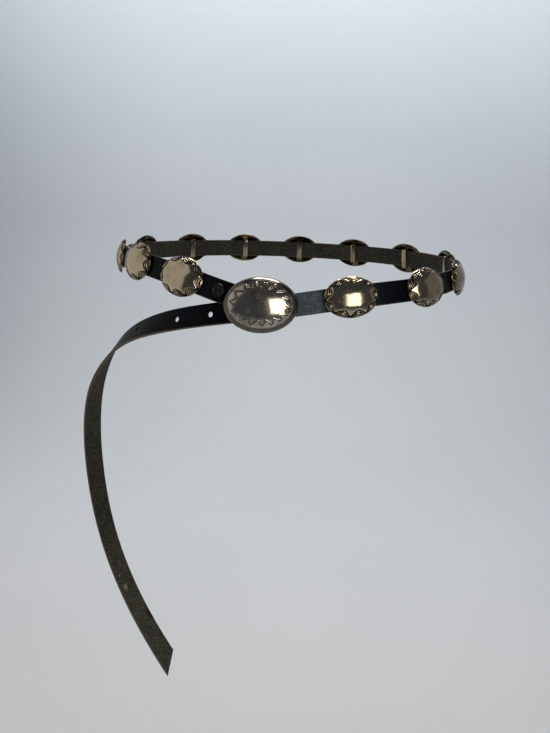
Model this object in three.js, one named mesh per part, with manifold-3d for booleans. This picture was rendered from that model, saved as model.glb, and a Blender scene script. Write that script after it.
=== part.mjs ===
// A concho belt: one long leather strap through thirteen oval conchos, closed by a domed buckle.
// Millimetres, +Z up, +X to the right of someone who faces the buckle, -Y toward them.
// The origin is the middle of the waist that the belt goes round, level with the belt's sides.

import * as THREE from 'three';
import { mergeVertices } from 'three/addons/utils/BufferGeometryUtils.js';
import Module from 'manifold-3d';

const wasm = await Module();
wasm.setup();

// Strap
const STRAP_WIDTH = 16;
const STRAP_THICKNESS = 2;
const TAIL_LENGTH = 486;
const TIP_SLANT = 16;
const FLAP_LENGTH = 27;

// Course round the waist: an ellipse whose front dips
const LOOP_HALF_WIDTH = 141.2;
const LOOP_HALF_DEPTH = 112.4;
const FRONT_DIP = 16;
const BUCKLE_BEARING = -4.4;

// Clearances
const CLEARANCE = 0.3;
const LAYER_GAP = 0.5;

// Buckle
const BUCKLE_LENGTH = 50.7;
const BUCKLE_HEIGHT = 38.2;
const BUCKLE_DOME = 10;
const BUCKLE_SHEET = 1.2;
const BUCKLE_FULLNESS = 0.6;
const BUCKLE_TURN = 9;
const BUCKLE_LEAN = 15;
const BUCKLE_DROP = 16.6;
const BUCKLE_SLIP = 0.9;
const BUCKLE_TEETH = 16;
const TOOTH_DEPTH = 0.35;
const TOOTH_SWING = 0.055;
const BAR_DIAMETER = 2;
const BAR_OFFSET = 10;
const HOOK_DIAMETER = 2.6;
const HOOK_OFFSET = -13;
const HOOK_FOOT = 5;

// Conchos
const CONCHO_LENGTH = 39;
const CONCHO_HEIGHT = 28.6;
const CONCHO_DOME = 6.2;
const CONCHO_SHEET = 1;
const CONCHO_FULLNESS = 0.7;
const SCALLOPS = 9;
const SCALLOP_RELIEF = 0.35;
const SCALLOP_NOTCH = 0.5;
const KEEPER_WIDTH = 5;
const KEEPER_SHEET = 1;
const KEEPER_DEPTH = 0.1;
const REAR_CONCHOS = 7;
const CONCHO_SPACING = 52;

// Snap and punched holes
const SNAP_DIAMETER = 9.6;
const SNAP_OFFSET = 29.5;
const SNAP_POST = 3;
const SNAP_FLANGE = 8;
const SNAP_SHEET = 0.8;
const SNAP_RISE = 1.6;
const HOLE_DIAMETER = 4;
const HOLE_PITCH = 24.5;

// The loop by degrees on from the buckle: height as a share of the front dip, and lean in degrees.
const LOOP_COURSE = [
  { turn: 0, height: -0.86, lean: 20 },
  { turn: 25, height: -0.06, lean: 19 },
  { turn: 48, height: 0.33, lean: 15 },
  { turn: 72, height: 0.26, lean: 10 },
  { turn: 180, height: 0.06, lean: 12 },
  { turn: 282, height: -0.17, lean: 12 },
  { turn: 307, height: -0.32, lean: 16 },
  { turn: 334, height: -0.58, lean: 18 },
  { turn: 360, height: -1.17, lean: 19 },
];

// How far the fixed end stands off the waist, in layers, by distance from the buckle in strap widths.
const FIXED_END_LIFTS = [
  { at: 0, layers: 3 },
  { at: 0.6, layers: 2.85 },
  { at: 1.85, layers: 2 },
  { at: 2.8, layers: 1 },
  { at: 3.9, layers: 0.15 },
  { at: 5, layers: 0 },
];

// Free end: share of the tail's length, then degrees of fall, heading round to the back, and roll.
const TAIL_COURSE = [
  { along: 0, fall: 9, heading: 4, roll: 19 },
  { along: 0.12, fall: 14, heading: 18, roll: 22 },
  { along: 0.22, fall: 25, heading: 28, roll: 42 },
  { along: 0.3, fall: 43, heading: 34, roll: 58 },
  { along: 0.38, fall: 57, heading: 38, roll: 75 },
  { along: 0.46, fall: 74, heading: 41, roll: 87 },
  { along: 0.55, fall: 90, heading: 43, roll: 92 },
  { along: 0.66, fall: 107, heading: 42, roll: 91 },
  { along: 0.78, fall: 129, heading: 40, roll: 90 },
  { along: 0.89, fall: 146, heading: 39, roll: 92 },
  { along: 1, fall: 161, heading: 40, roll: 95 },
];

// Rings of the concho's and the buckle's relief, as shares of the way from the crown to the rim.
const CONCHO_RINGS = { rim: 1, moons: 0.93, arcs: 0.8, face: 0.5, crown: 0 };
const BUCKLE_RINGS = {
  rim: 1,
  band: 0.93,
  outer: 0.82,
  groove: 0.8,
  inner: 0.78,
  face: 0.66,
  top: 0.38,
  crown: 0,
};

// Snap's cap from its edge to its sunken middle, as shares of its diameter and its rise.
const SNAP_CAP = [
  { out: 0.5, height: 0 },
  { out: 0.5, height: 0.3 },
  { out: 0.4, height: 1 },
  { out: 0.27, height: 1 },
  { out: 0.18, height: 0.6 },
  { out: 0, height: 0.75 },
];

// Steps between the buckle and the conchos in front, on either side of it, in concho spacings.
const RIGHT_HAND_STEPS = [1.19, 0.97, 0.96];
const LEFT_HAND_STEPS = [1.19, 1.2, 1.01];

// Punched holes, in pitches from the one that the hook is in.
const HOLES = [0, 1, 2.09, 3.24, 4.93];

// Values worked out from the driving dimensions
const LAYER_PITCH = STRAP_THICKNESS + LAYER_GAP;
const FLAP_PITCH = STRAP_THICKNESS + CLEARANCE;
const FOLD_RADIUS = BAR_DIAMETER / 2 + CLEARANCE + STRAP_THICKNESS / 2;
const UP = new THREE.Vector3(0, 0, 1);
const radians = THREE.MathUtils.degToRad;

const materials = {
  leather: new THREE.MeshStandardMaterial({ color: '#17181b', roughness: 0.5, metalness: 0 }),
  silver: new THREE.MeshStandardMaterial({ color: '#8d8376', roughness: 0.3, metalness: 1 }),
  black: new THREE.MeshStandardMaterial({ color: '#141414', roughness: 0.4, metalness: 0.6 }),
};

// Smooth curve through a table's rows, read at x.
function tableAt(rows, key, column, x) {
  const last = rows.length - 1;
  let row = 0;
  while (row < last - 1 && x > rows[row + 1][key]) row += 1;
  const slope = (a, b) => (rows[b][column] - rows[a][column]) / (rows[b][key] - rows[a][key]);
  const tangent = (i) => {
    if (i === 0) return slope(0, 1);
    if (i === last) return slope(last - 1, last);
    const before = rows[i][key] - rows[i - 1][key];
    const after = rows[i + 1][key] - rows[i][key];
    return (slope(i - 1, i) * after + slope(i, i + 1) * before) / (before + after);
  };
  const span = rows[row + 1][key] - rows[row][key];
  const t = THREE.MathUtils.clamp((x - rows[row][key]) / span, 0, 1);
  const start = rows[row][column] + span * tangent(row) * t * (1 - t) ** 2;
  const end = span * tangent(row + 1) * t * t * (1 - t);
  const blend = t * t * (3 - 2 * t);
  return start + (rows[row + 1][column] - rows[row][column]) * blend - end;
}

// A frame on the strap: along its length, out of its grain side and across to its upper edge.
function frameOn(point, along, roll) {
  const level = UP.clone().addScaledVector(along, -along.z).normalize();
  const facing = new THREE.Vector3().crossVectors(level, along);
  const across = level.clone().multiplyScalar(Math.cos(roll)).addScaledVector(facing, -Math.sin(roll));
  const out = new THREE.Vector3().crossVectors(across, along);
  return { point, along, out, across };
}

// The point of a frame at given distances along, out and across.
function place(frame, along, out, across) {
  return frame.point
    .clone()
    .addScaledVector(frame.along, along)
    .addScaledVector(frame.out, out)
    .addScaledVector(frame.across, across);
}

// Middle of a strap that lies on the waist, by degrees on from the buckle.
function waistPoint(turn) {
  const bearing = radians(BUCKLE_BEARING - turn);
  const height = FRONT_DIP * tableAt(LOOP_COURSE, 'turn', 'height', turn);
  return new THREE.Vector3(
    LOOP_HALF_WIDTH * Math.sin(bearing),
    -LOOP_HALF_DEPTH * Math.cos(bearing),
    height,
  );
}

// The waist's course as an even table of lengths, so that places on it are given as distances.
const WAIST_SAMPLES = 1440;
const waistPoints = [];
for (let i = 0; i <= WAIST_SAMPLES; i += 1) waistPoints.push(waistPoint((360 * i) / WAIST_SAMPLES));
const waistLengths = [0];
for (let i = 1; i <= WAIST_SAMPLES; i += 1) {
  waistLengths.push(waistLengths[i - 1] + waistPoints[i].distanceTo(waistPoints[i - 1]));
}
const LOOP_LENGTH = waistLengths[WAIST_SAMPLES];

function waistAt(distance) {
  let high = waistLengths.findIndex((length) => length >= distance);
  if (high < 1) high = distance <= 0 ? 1 : WAIST_SAMPLES;
  const low = high - 1;
  const share = (distance - waistLengths[low]) / (waistLengths[high] - waistLengths[low]);
  return new THREE.Vector3().lerpVectors(waistPoints[low], waistPoints[high], share);
}

// Frame of the strap on its way round, lifted where the fixed end lies on the free one.
function loopFrame(distance) {
  const reach = 0.5;
  const middle = (d) => {
    const heading = waistAt(d + reach).sub(waistAt(d - reach));
    const outward = new THREE.Vector3().crossVectors(UP, heading).normalize();
    const lift = LAYER_PITCH * tableAt(FIXED_END_LIFTS, 'at', 'layers', d / STRAP_WIDTH);
    return waistAt(d).addScaledVector(outward, lift);
  };
  const along = middle(distance + reach).sub(middle(distance - reach)).normalize();
  const lean = tableAt(LOOP_COURSE, 'turn', 'lean', (360 * distance) / LOOP_LENGTH);
  return frameOn(middle(distance), along, radians(lean));
}

// The free end, walked in short steps from the buckle's middle with the headings of its table.
const TAIL_STEP = 1;
function tailDirection(distance) {
  const along = distance / TAIL_LENGTH;
  const fall = radians(tableAt(TAIL_COURSE, 'along', 'fall', along));
  const heading = radians(tableAt(TAIL_COURSE, 'along', 'heading', along));
  return new THREE.Vector3(
    -Math.cos(fall) * Math.cos(heading),
    Math.cos(fall) * Math.sin(heading),
    -Math.sin(fall),
  );
}
const tailPoints = [waistPoint(360)];
for (let i = 0; i < Math.ceil(TAIL_LENGTH / TAIL_STEP); i += 1) {
  tailPoints.push(tailPoints[i].clone().addScaledVector(tailDirection((i + 0.5) * TAIL_STEP), TAIL_STEP));
}

// Past upright, the table's own level direction is kept, so the roll never jumps.
function tailFrame(distance) {
  const step = Math.min(Math.floor(distance / TAIL_STEP), tailPoints.length - 2);
  const share = distance / TAIL_STEP - step;
  const point = new THREE.Vector3().lerpVectors(tailPoints[step], tailPoints[step + 1], share);
  const along = tailDirection(distance);
  const heading = radians(tableAt(TAIL_COURSE, 'along', 'heading', distance / TAIL_LENGTH));
  const roll = radians(tableAt(TAIL_COURSE, 'along', 'roll', distance / TAIL_LENGTH));
  const facing = new THREE.Vector3(-Math.sin(heading), -Math.cos(heading), 0);
  const level = new THREE.Vector3().crossVectors(along, facing);
  const across = level.multiplyScalar(Math.cos(roll)).addScaledVector(facing, -Math.sin(roll));
  const out = new THREE.Vector3().crossVectors(across, along);
  return { point, along, out, across };
}

// The end folded back round the buckle's bar, on the waist side of the fixed end.
function flapFrame(distance) {
  const outer = loopFrame(distance);
  const share = THREE.MathUtils.smoothstep(distance, BAR_OFFSET, SNAP_OFFSET - SNAP_DIAMETER / 2);
  const inset = THREE.MathUtils.lerp(2 * FOLD_RADIUS, FLAP_PITCH, share);
  return {
    point: place(outer, 0, -inset, 0),
    along: outer.along.clone().negate(),
    out: outer.out.clone().negate(),
    across: outer.across,
  };
}

function foldFrame(angle) {
  const outer = loopFrame(BAR_OFFSET);
  const [cos, sin] = [Math.cos(angle), Math.sin(angle)];
  const out = outer.out.clone().multiplyScalar(cos).addScaledVector(outer.along, -sin);
  const along = outer.along.clone().multiplyScalar(cos).addScaledVector(outer.out, sin);
  const point = place(outer, 0, -FOLD_RADIUS, 0).addScaledVector(out, FOLD_RADIUS);
  return { point, along, out, across: outer.across };
}

// The whole strap by distance from its folded end: flap, fold, loop and tail.
const FOLD_LENGTH = Math.PI * FOLD_RADIUS;
const LOOP_START = FLAP_LENGTH + FOLD_LENGTH;
const TAIL_START = LOOP_START + LOOP_LENGTH - BAR_OFFSET;
const STRAP_LENGTH = TAIL_START + TAIL_LENGTH;

function strapFrame(distance) {
  if (distance < FLAP_LENGTH) return flapFrame(BAR_OFFSET + FLAP_LENGTH - distance);
  if (distance < LOOP_START) return foldFrame(Math.PI * (1 - (distance - FLAP_LENGTH) / FOLD_LENGTH));
  if (distance < TAIL_START) return loopFrame(distance - LOOP_START + BAR_OFFSET);
  return tailFrame(Math.min(distance - TAIL_START, TAIL_LENGTH));
}

// Distances of the strap's cross sections, closer together where it folds and rolls.
const STRETCHES = [
  { until: FLAP_LENGTH, sections: 5 },
  { until: LOOP_START, sections: 6 },
  { until: LOOP_START + 4 * STRAP_WIDTH, sections: 12 },
  { until: TAIL_START, sections: 84 },
  { until: STRAP_LENGTH, sections: 72 },
];
const sectionDistances = [0];
for (const { until, sections } of STRETCHES) {
  const from = sectionDistances[sectionDistances.length - 1];
  for (let i = 1; i <= sections; i += 1) sectionDistances.push(from + ((until - from) * i) / sections);
}

// A closed mesh with shared vertices and no empty triangles, as a solid.
const WELD_DISTANCE = 1e-4;
function solidFrom(geometry) {
  const bare = geometry.clone();
  bare.deleteAttribute('normal');
  bare.deleteAttribute('uv');
  const merged = mergeVertices(bare, WELD_DISTANCE);
  const index = merged.index.array;
  const triangles = [];
  for (let i = 0; i < index.length; i += 3) {
    const [a, b, c] = [index[i], index[i + 1], index[i + 2]];
    if (a !== b && b !== c && c !== a) triangles.push(a, b, c);
  }
  return new wasm.Manifold(
    new wasm.Mesh({
      numProp: 3,
      vertProperties: Float32Array.from(merged.attributes.position.array),
      triVerts: Uint32Array.from(triangles),
    }),
  );
}

function meshFrom(name, solid, material) {
  const result = solid.getMesh();
  const geometry = new THREE.BufferGeometry();
  geometry.setAttribute('position', new THREE.BufferAttribute(Float32Array.from(result.vertProperties), 3));
  geometry.setIndex(new THREE.BufferAttribute(Uint32Array.from(result.triVerts), 1));
  geometry.computeVertexNormals();
  const mesh = new THREE.Mesh(geometry, material);
  mesh.name = name;
  return mesh;
}

// Puts a mesh made in a frame's own axes, along, out and across, at a point.
function seat(mesh, frame, point) {
  const { along, out, across } = frame;
  mesh.position.copy(point);
  mesh.quaternion.setFromRotationMatrix(new THREE.Matrix4().makeBasis(along, out, across));
  return mesh;
}

// Moves each vertex of a geometry to the place that a function gives for it.
function reshape(geometry, move) {
  const { position } = geometry.attributes;
  for (let i = 0; i < position.count; i += 1) {
    const moved = move(position.getX(i), position.getY(i), position.getZ(i));
    position.setXYZ(i, moved.x, moved.y, moved.z);
  }
  return geometry;
}

// A round rod between two points, as long as they are apart.
const ROD_SIDES = 12;
function rod(from, to, diameter) {
  const span = new THREE.Vector3().subVectors(to, from);
  const geometry = new THREE.CylinderGeometry(diameter / 2, diameter / 2, span.length(), ROD_SIDES);
  const cylinderAxis = new THREE.Vector3(0, 1, 0);
  const turn = new THREE.Quaternion().setFromUnitVectors(cylinderAxis, span.clone().normalize());
  geometry.applyQuaternion(turn);
  geometry.translate(...from.clone().addScaledVector(span, 0.5).toArray());
  return solidFrom(geometry);
}

// Strap: a long flat bar bent along its course, with its slanted tip and its holes.
function makeStrap() {
  const last = sectionDistances.length - 1;
  const bar = new THREE.BoxGeometry(last, STRAP_THICKNESS, STRAP_WIDTH, last, 1, 1);
  const slantedEnd = 3 * TIP_SLANT;
  reshape(bar, (x, y, z) => {
    const distance = sectionDistances[Math.round(x + last / 2)];
    const nearTip = Math.max(0, 1 - (STRAP_LENGTH - distance) / slantedEnd);
    const slant = TIP_SLANT * nearTip * (0.5 + z / STRAP_WIDTH);
    return place(strapFrame(distance - slant), 0, y, z);
  });
  let strap = solidFrom(bar);
  for (const pitches of HOLES) {
    const frame = strapFrame(TAIL_START + HOOK_OFFSET + pitches * HOLE_PITCH);
    const under = place(frame, 0, -STRAP_THICKNESS, 0);
    const over = place(frame, 0, STRAP_THICKNESS, 0);
    strap = strap.subtract(rod(under, over, HOLE_DIAMETER));
  }
  const snap = loopFrame(SNAP_OFFSET);
  const snapPunch = rod(
    place(snap, 0, -FLAP_PITCH - STRAP_THICKNESS, 0),
    place(snap, 0, STRAP_THICKNESS, 0),
    SNAP_POST + 2 * CLEARANCE,
  );
  return meshFrom('strap', strap.subtract(snapPunch), materials.leather);
}

// Height share of a pressed dome at a share of its radius; a larger fullness stands steeper at the rim.
function domeShare(radius, fullness) {
  return Math.max(0, 1 - radius * radius) ** fullness;
}

// A solid dome over an oval: rings by share of the radius, then shaped by its relief.
function domeSolid({ halfLength, halfHeight, rise, fullness, rings, sides, skirt, relief }) {
  const profile = [new THREE.Vector2(0, -skirt), new THREE.Vector2(1, -skirt)];
  if (skirt > 0) profile.push(new THREE.Vector2(1, 0));
  for (const radius of rings) profile.push(new THREE.Vector2(radius, domeShare(radius, fullness)));
  const lathe = new THREE.LatheGeometry(profile, sides);
  reshape(lathe, (x, y, z) => {
    const radius = Math.hypot(x, z);
    const turn = Math.atan2(z, x) / (2 * Math.PI);
    const change = relief(turn - Math.floor(turn), radius, y);
    const scale = radius > 0 ? change.radius / radius : 0;
    const height = y > 0 ? rise * domeShare(change.radius, fullness) + change.lift : y;
    return new THREE.Vector3(x * scale * halfLength, height, z * scale * halfHeight);
  });
  return solidFrom(lathe);
}

const plain = (turn, radius) => ({ radius, lift: 0 });

// A pressed shell: an outer dome less an inner one that is smaller by the sheet all round.
const HOLLOW = { rings: [0.85, 0.55, 0], sides: 20, skirt: 1 };
function shell({ length, height, rise, sheet, fullness, rings, sides, relief }) {
  const outer = domeSolid({
    halfLength: length / 2, halfHeight: height / 2, rise, fullness, rings, sides, skirt: 0, relief,
  });
  const inner = domeSolid({
    halfLength: length / 2 - sheet,
    halfHeight: height / 2 - sheet,
    rise: rise - sheet,
    fullness,
    relief: plain,
    ...HOLLOW,
  });
  return outer.subtract(inner);
}

// Concho border: half-moons raised at the rim with notches between them, set off by pressed arcs.
const onRing = (radius, ring) => Math.abs(radius - ring) < 0.005;
function conchoRelief(turn, radius) {
  const scallop = turn * SCALLOPS;
  const betweenMoons = Math.abs(scallop - Math.round(scallop)) < 0.1;
  const notch = SCALLOP_NOTCH / (CONCHO_HEIGHT / 2);
  if (onRing(radius, CONCHO_RINGS.rim)) return { radius: betweenMoons ? radius - notch : radius, lift: 0 };
  if (onRing(radius, CONCHO_RINGS.moons)) {
    return { radius, lift: betweenMoons ? -SCALLOP_RELIEF / 2 : SCALLOP_RELIEF };
  }
  if (onRing(radius, CONCHO_RINGS.arcs)) return { radius, lift: betweenMoons ? 0 : -SCALLOP_RELIEF / 2 };
  return { radius, lift: 0 };
}

// How high an oval's rim sits over a strap that curves beneath it.
const UNDER_RIM = { from: 0.8, to: 1.02 };
function seatOver(frame, distance, halfLength, halfHeight) {
  const steps = 16;
  let highest = -Infinity;
  for (let i = -steps; i <= steps; i += 1) {
    for (const edge of [-0.5, 0, 0.5]) {
      const strap = strapFrame(distance + (halfLength * i) / steps);
      const top = place(strap, 0, STRAP_THICKNESS / 2, edge * STRAP_WIDTH).sub(frame.point);
      const radius = Math.hypot(top.dot(frame.along) / halfLength, top.dot(frame.across) / halfHeight);
      if (radius > UNDER_RIM.from && radius < UNDER_RIM.to) highest = Math.max(highest, top.dot(frame.out));
    }
  }
  return highest + CLEARANCE;
}

// Concho: a shell with a keeper soldered behind it, which the strap runs through.
function makeConcho(name, distance) {
  const frame = strapFrame(distance);
  const lift = seatOver(frame, distance, CONCHO_LENGTH / 2, CONCHO_HEIGHT / 2);
  const dome = shell({
    length: CONCHO_LENGTH,
    height: CONCHO_HEIGHT,
    rise: CONCHO_DOME,
    sheet: CONCHO_SHEET,
    fullness: CONCHO_FULLNESS,
    rings: Object.values(CONCHO_RINGS),
    sides: 3 * SCALLOPS,
    relief: conchoRelief,
  });
  const gapHalf = STRAP_WIDTH / 2 + CLEARANCE;
  const legMiddle = gapHalf + KEEPER_SHEET / 2;
  const barTop = -STRAP_THICKNESS / 2 - CLEARANCE - lift;
  const legRadius = (gapHalf + KEEPER_SHEET) / (CONCHO_HEIGHT / 2);
  const legEnd = CONCHO_DOME * domeShare(legRadius, CONCHO_FULLNESS) - KEEPER_DEPTH;
  const legLength = legEnd - barTop + KEEPER_SHEET;
  const bar = new THREE.BoxGeometry(KEEPER_WIDTH, KEEPER_SHEET, 2 * (gapHalf + KEEPER_SHEET));
  bar.translate(0, barTop - KEEPER_SHEET / 2, 0);
  let concho = dome.add(solidFrom(bar));
  for (const side of [-1, 1]) {
    const leg = new THREE.BoxGeometry(KEEPER_WIDTH, legLength, KEEPER_SHEET);
    leg.translate(0, legEnd - legLength / 2, side * legMiddle);
    concho = concho.add(solidFrom(leg));
  }
  return seat(meshFrom(name, concho, materials.silver), frame, place(frame, 0, lift, 0));
}

// Buckle border: a groove at an even distance from the rim, which runs in and out as a row of teeth.
function buckleRelief(turn, radius) {
  const { outer, groove, inner, face } = BUCKLE_RINGS;
  if (radius < face && !onRing(radius, face)) return { radius, lift: 0 };
  const angle = 2 * Math.PI * turn;
  const reach = Math.hypot(BUCKLE_LENGTH * Math.cos(angle), BUCKLE_HEIGHT * Math.sin(angle));
  const even = (ring) => 1 - ((1 - ring) * BUCKLE_LENGTH) / reach;
  const tooth = turn * BUCKLE_TEETH + 0.5;
  const swing = TOOTH_SWING * (4 * Math.abs(tooth - Math.floor(tooth) - 0.5) - 1);
  if (onRing(radius, groove)) return { radius: even(radius + swing), lift: -TOOTH_DEPTH };
  if (onRing(radius, outer) || onRing(radius, inner)) return { radius: even(radius + swing), lift: 0 };
  return { radius: even(radius), lift: 0 };
}

// The buckle stands level before the waist, turned a little off the strap behind it.
function buckleFrame() {
  const point = waistPoint(0).setZ(-BUCKLE_DROP);
  const tangent = waistAt(1).sub(waistAt(-1)).setZ(0).normalize();
  const along = tangent.applyAxisAngle(UP, radians(BUCKLE_TURN));
  const frame = frameOn(point, along, radians(BUCKLE_LEAN));
  const lift = seatOver(frame, LOOP_START, BUCKLE_LENGTH / 2, BUCKLE_HEIGHT / 2);
  return { ...frame, point: place(frame, BUCKLE_SLIP, lift, 0) };
}

// Point in the middle of the buckle's sheet, straight before a point behind the buckle.
function onBuckleSheet(frame, behind) {
  const offset = behind.clone().sub(frame.point);
  const along = offset.dot(frame.along);
  const across = offset.dot(frame.across);
  const radius = Math.hypot(along / (BUCKLE_LENGTH / 2), across / (BUCKLE_HEIGHT / 2));
  return place(frame, along, BUCKLE_DOME * domeShare(radius, BUCKLE_FULLNESS) - BUCKLE_SHEET / 2, across);
}

// Buckle: a shell with a bar for the folded end and a hook for the punched one, soldered behind it.
function makeBuckle() {
  const frame = buckleFrame();
  const dome = shell({
    length: BUCKLE_LENGTH,
    height: BUCKLE_HEIGHT,
    rise: BUCKLE_DOME,
    sheet: BUCKLE_SHEET,
    fullness: BUCKLE_FULLNESS,
    rings: Object.values(BUCKLE_RINGS),
    sides: 4 * BUCKLE_TEETH,
    relief: buckleRelief,
  });
  const inward = new THREE.Matrix4().makeBasis(frame.along, frame.out, frame.across);
  inward.setPosition(frame.point).invert();
  const local = (point) => point.clone().applyMatrix4(inward);

  const bar = place(loopFrame(BAR_OFFSET), 0, -FOLD_RADIUS, 0);
  const barHalf = STRAP_WIDTH / 2 + CLEARANCE + BAR_DIAMETER / 2;
  const { across } = loopFrame(BAR_OFFSET);
  const ends = [-1, 1].map((side) => bar.clone().addScaledVector(across, side * barHalf));
  const overrun = across.clone().multiplyScalar(BAR_DIAMETER / 2);
  const barEnds = [ends[0].clone().sub(overrun), ends[1].clone().add(overrun)];
  let buckle = dome.add(rod(local(barEnds[0]), local(barEnds[1]), BAR_DIAMETER));
  for (const end of ends) {
    buckle = buckle.add(rod(local(end), local(onBuckleSheet(frame, end)), BAR_DIAMETER));
  }

  const hooked = strapFrame(TAIL_START + HOOK_OFFSET);
  const footDrop = -STRAP_THICKNESS / 2 - CLEARANCE - HOOK_DIAMETER / 2;
  const heel = place(hooked, 0, footDrop, 0);
  const toe = place(hooked, HOOK_FOOT, footDrop, 0);
  const heelEnd = place(hooked, -HOOK_DIAMETER / 2, footDrop, 0);
  const postEnd = place(hooked, 0, footDrop - HOOK_DIAMETER / 2, 0);
  buckle = buckle.add(rod(local(postEnd), local(onBuckleSheet(frame, heel)), HOOK_DIAMETER));
  buckle = buckle.add(rod(local(heelEnd), local(toe), HOOK_DIAMETER));
  return seat(meshFrom('buckle', buckle, materials.silver), frame, frame.point);
}

// Snap: cap, post and flange turned in one, through the strap and its folded end.
const SNAP_SIDES = 20;
function makeSnap() {
  const frame = loopFrame(SNAP_OFFSET);
  const capBase = STRAP_THICKNESS / 2 + CLEARANCE;
  const flangeTop = -STRAP_THICKNESS / 2 - FLAP_PITCH - CLEARANCE;
  const profile = [
    new THREE.Vector2(0, flangeTop - SNAP_SHEET),
    new THREE.Vector2(SNAP_FLANGE / 2, flangeTop - SNAP_SHEET),
    new THREE.Vector2(SNAP_FLANGE / 2, flangeTop),
    new THREE.Vector2(SNAP_POST / 2, flangeTop),
    new THREE.Vector2(SNAP_POST / 2, capBase),
  ];
  for (const { out, height } of SNAP_CAP) {
    profile.push(new THREE.Vector2(out * SNAP_DIAMETER, capBase + height * SNAP_RISE));
  }
  const lathe = new THREE.LatheGeometry(profile, SNAP_SIDES);
  return seat(meshFrom('snap', solidFrom(lathe), materials.black), frame, frame.point);
}

// Distances of the conchos from the buckle along the strap: in front on both sides, then evenly behind.
function conchoDistances() {
  const sumOf = (steps) => steps.reduce((sum, step) => sum + step, 0);
  const running = (steps) => steps.map((_, i) => CONCHO_SPACING * sumOf(steps.slice(0, i + 1)));
  const near = running(RIGHT_HAND_STEPS);
  const far = running(LEFT_HAND_STEPS).map((distance) => LOOP_LENGTH - distance).reverse();
  const from = near[near.length - 1];
  const pitch = (far[0] - from) / (REAR_CONCHOS + 1);
  const rear = Array.from({ length: REAR_CONCHOS }, (_, i) => from + (i + 1) * pitch);
  return [...near, ...rear, ...far];
}

const belt = new THREE.Group();
belt.name = 'concho_belt';
belt.add(makeStrap());
belt.add(makeBuckle());
belt.add(makeSnap());
conchoDistances().forEach((distance, i) => {
  const number = String(i + 1).padStart(2, '0');
  belt.add(makeConcho(`concho_${number}`, LOOP_START - BAR_OFFSET + distance));
});

export default belt;
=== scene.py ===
# %% [markdown]
# This lesson dresses a concho belt: a long black leather strap that carries oval domes of
# pressed nickel silver and closes with a larger domed buckle. The construction comes from a
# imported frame, so every piece here starts from a place and a size that are already settled.

# %% Load the frame
import bisect
import math

import bmesh
import bpy
from mathutils import Matrix, Vector


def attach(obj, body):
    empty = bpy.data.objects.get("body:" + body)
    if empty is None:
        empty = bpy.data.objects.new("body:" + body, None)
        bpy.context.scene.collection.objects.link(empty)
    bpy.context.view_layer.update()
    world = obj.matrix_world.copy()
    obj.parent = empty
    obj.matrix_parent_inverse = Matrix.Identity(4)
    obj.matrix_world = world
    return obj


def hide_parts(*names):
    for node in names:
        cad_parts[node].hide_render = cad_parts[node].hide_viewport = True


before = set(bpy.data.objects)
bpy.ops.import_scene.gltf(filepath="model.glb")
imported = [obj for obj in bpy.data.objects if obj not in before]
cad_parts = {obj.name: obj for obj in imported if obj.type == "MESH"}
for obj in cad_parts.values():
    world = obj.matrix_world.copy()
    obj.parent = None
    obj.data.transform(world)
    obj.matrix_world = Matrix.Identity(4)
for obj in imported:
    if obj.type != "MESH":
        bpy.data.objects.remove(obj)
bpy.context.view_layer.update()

nodes = sorted(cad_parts)
print("nodes of the frame:", len(nodes))

# %% [markdown]
# All sizes are written as a maker would say them, in millimetres, and one value turns them
# into Blender's metres. Colours are written as the hex values that a colour picker shows, and
# one function turns them into the linear light that shaders work in.

# %% Units and colours
MM = 0.001


def linear(hex_colour):
    """Linear colour with alpha 1, from an sRGB hex value such as "#8d8376"."""
    shares = [int(hex_colour[i:i + 2], 16) / 255 for i in (1, 3, 5)]
    curve = [c / 12.92 if c <= 0.04045 else ((c + 0.055) / 1.055) ** 2.4 for c in shares]
    return (*curve, 1.0)


print("mid grey is", round(linear("#808080")[0], 3), "in linear light")

# %% [markdown]
# A node of the frame arrives as loose triangles. A copy whose doubles are merged can be
# measured and shaped, while the node itself stays as it is.

# %% Copies to measure and shape
WELD = 0.001 * MM


def working_copy(node):
    """An editable copy of a node of the frame, with its loose triangles joined."""
    shape = bmesh.new()
    shape.from_mesh(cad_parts[node].data)
    bmesh.ops.remove_doubles(shape, verts=shape.verts, dist=WELD)
    shape.normal_update()
    return shape


def hand_over(name, shape, finishes, node):
    """Makes a finished piece of a shape, which rides on the belt and stands for a node."""
    mesh = bpy.data.meshes.new(name)
    shape.to_mesh(mesh)
    shape.free()
    for finish in finishes:
        mesh.materials.append(finish)
    mesh.shade_smooth()
    piece = bpy.data.objects.new(name, mesh)
    bpy.context.scene.collection.objects.link(piece)
    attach(piece, "root")
    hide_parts(node)
    return piece


strap_copy = working_copy("strap")
print("the strap's copy has", len(strap_copy.verts), "corners")

# %% [markdown]
# The camera looks a little down at the buckle from less than half a metre away, as a person
# standing close in front of the wearer would. Its place, turn and lens are found by matching
# the ovals of the conchos, whose real size is known. It comes first, so that each later step
# can be looked at.

# %% Camera
VIEW_PLACE = Vector((30.4, -483.9, 57.1)) * MM
VIEW_DOWN = math.radians(17.4)
VIEW_LEFT = math.radians(4.8)
VIEW_ROLL = math.radians(1.5)
SENSOR_WIDTH = 36.0
FOCAL_PIXELS = 551
IMAGE_WIDTH = 550

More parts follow.
